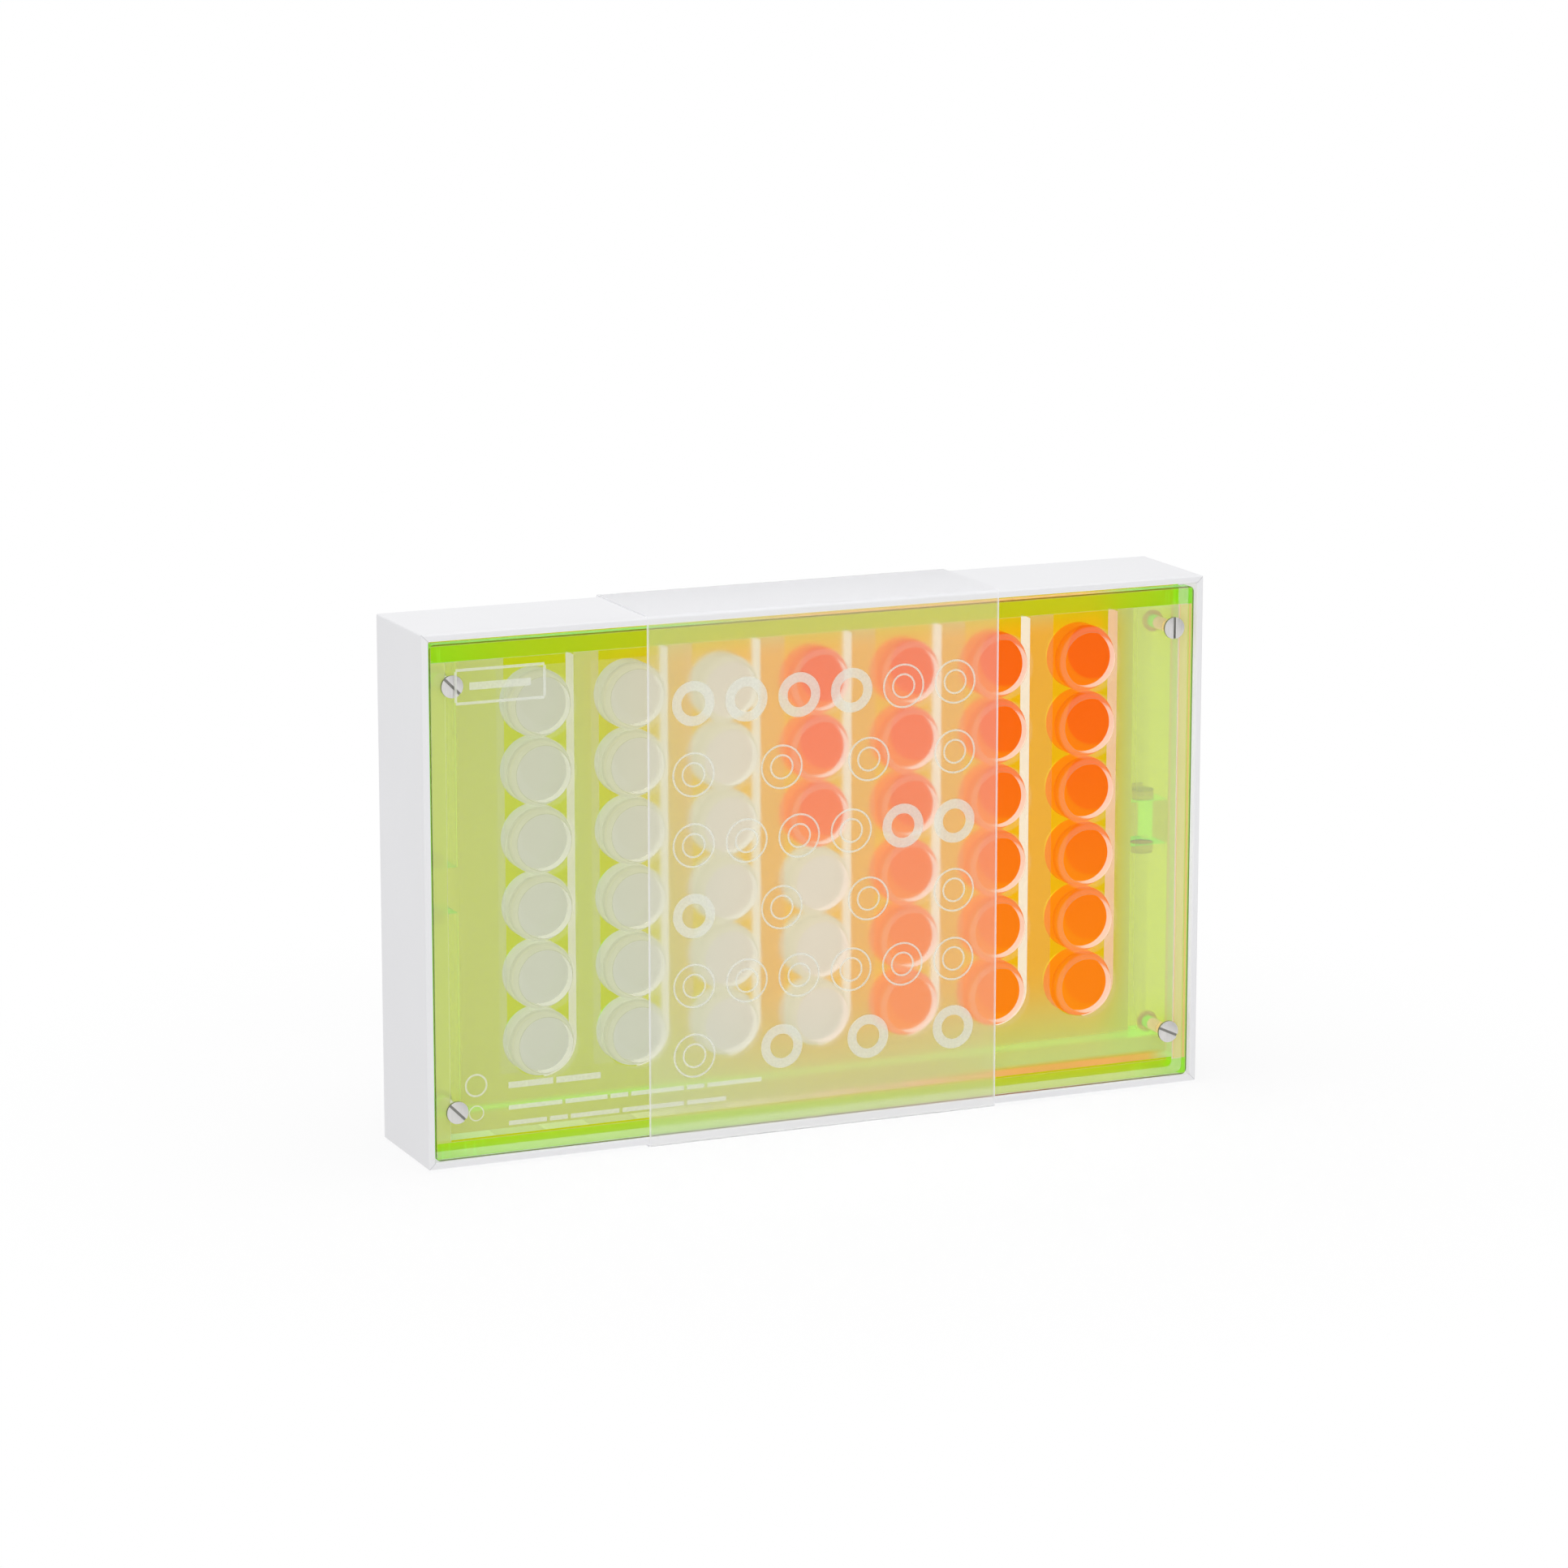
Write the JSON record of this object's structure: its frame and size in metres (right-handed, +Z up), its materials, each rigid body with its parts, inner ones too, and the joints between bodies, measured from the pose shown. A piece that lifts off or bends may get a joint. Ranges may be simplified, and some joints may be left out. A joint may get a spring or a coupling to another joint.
{
  "type": "boxed four in a row game",
  "caption": "Upright neon acrylic four in a row board with white and orange discs, packed in an open white card tray with a sliding frosted sleeve.",
  "frame": {"origin": "middle of the footprint, on the surface that the sleeve's underside rests on", "axes": "+X along the board to the right seen from the front, +Y from the open front to the closed back, +Z up"},
  "size_m": [0.36, 0.058, 0.2286],
  "materials": {
    "tray_card": "matte",
    "insert_card": "matte",
    "frosted_sheet": "satin",
    "clear_sheet": "gloss",
    "panel_acrylic": "gloss",
    "spacer_acrylic": "gloss",
    "neon_acrylic": "gloss",
    "foot_acrylic": "gloss",
    "disc_white": "gloss",
    "disc_orange": "gloss",
    "screw_steel": "satin"
  },
  "bodies": {
    "root": {"tray": "tray_card", "insert": "insert_card", "clear_cover": "clear_sheet", "front_panel": "panel_acrylic", "spacer": "spacer_acrylic", "back_panel": "neon_acrylic", "binding_screws": "screw_steel", "binding_posts": "screw_steel", "foot_left": "foot_acrylic", "foot_right": "foot_acrylic"},
    "sleeve": {"sleeve": "frosted_sheet"},
    "discs_column_1": {"disc_c1_r1": "disc_white", "disc_c1_r2": "disc_white", "disc_c1_r3": "disc_white", "disc_c1_r4": "disc_white", "disc_c1_r5": "disc_white", "disc_c1_r6": "disc_white"},
    "discs_column_2": {"disc_c2_r1": "disc_white", "disc_c2_r2": "disc_white", "disc_c2_r3": "disc_white", "disc_c2_r4": "disc_white", "disc_c2_r5": "disc_white", "disc_c2_r6": "disc_white"},
    "discs_column_3": {"disc_c3_r1": "disc_white", "disc_c3_r2": "disc_white", "disc_c3_r3": "disc_white", "disc_c3_r4": "disc_white", "disc_c3_r5": "disc_white", "disc_c3_r6": "disc_white"},
    "discs_column_4": {"disc_c4_r1": "disc_white", "disc_c4_r2": "disc_white", "disc_c4_r3": "disc_white", "disc_c4_r4": "disc_orange", "disc_c4_r5": "disc_orange", "disc_c4_r6": "disc_orange"},
    "discs_column_5": {"disc_c5_r1": "disc_orange", "disc_c5_r2": "disc_orange", "disc_c5_r3": "disc_orange", "disc_c5_r4": "disc_orange", "disc_c5_r5": "disc_orange", "disc_c5_r6": "disc_orange"},
    "discs_column_6": {"disc_c6_r1": "disc_orange", "disc_c6_r2": "disc_orange", "disc_c6_r3": "disc_orange", "disc_c6_r4": "disc_orange", "disc_c6_r5": "disc_orange", "disc_c6_r6": "disc_orange"},
    "discs_column_7": {"disc_c7_r1": "disc_orange", "disc_c7_r2": "disc_orange", "disc_c7_r3": "disc_orange", "disc_c7_r4": "disc_orange", "disc_c7_r5": "disc_orange", "disc_c7_r6": "disc_orange"}
  },
  "joints": [
    {"name": "sleeve_slide", "type": "slide", "parent": "root", "child": "sleeve", "axis": [1, 0, 0], "range_m": [-0.262, 0.262]},
    {"name": "column_1_lift", "type": "slide", "parent": "root", "child": "discs_column_1", "axis": [0, 0, 1], "range_m": [0, 0.0155]},
    {"name": "column_2_lift", "type": "slide", "parent": "root", "child": "discs_column_2", "axis": [0, 0, 1], "range_m": [0, 0.0155]},
    {"name": "column_3_lift", "type": "slide", "parent": "root", "child": "discs_column_3", "axis": [0, 0, 1], "range_m": [0, 0.0155]},
    {"name": "column_4_lift", "type": "slide", "parent": "root", "child": "discs_column_4", "axis": [0, 0, 1], "range_m": [0, 0.0155]},
    {"name": "column_5_lift", "type": "slide", "parent": "root", "child": "discs_column_5", "axis": [0, 0, 1], "range_m": [0, 0.0155]},
    {"name": "column_6_lift", "type": "slide", "parent": "root", "child": "discs_column_6", "axis": [0, 0, 1], "range_m": [0, 0.0155]},
    {"name": "column_7_lift", "type": "slide", "parent": "root", "child": "discs_column_7", "axis": [0, 0, 1], "range_m": [0, 0.0155]}
  ]
}
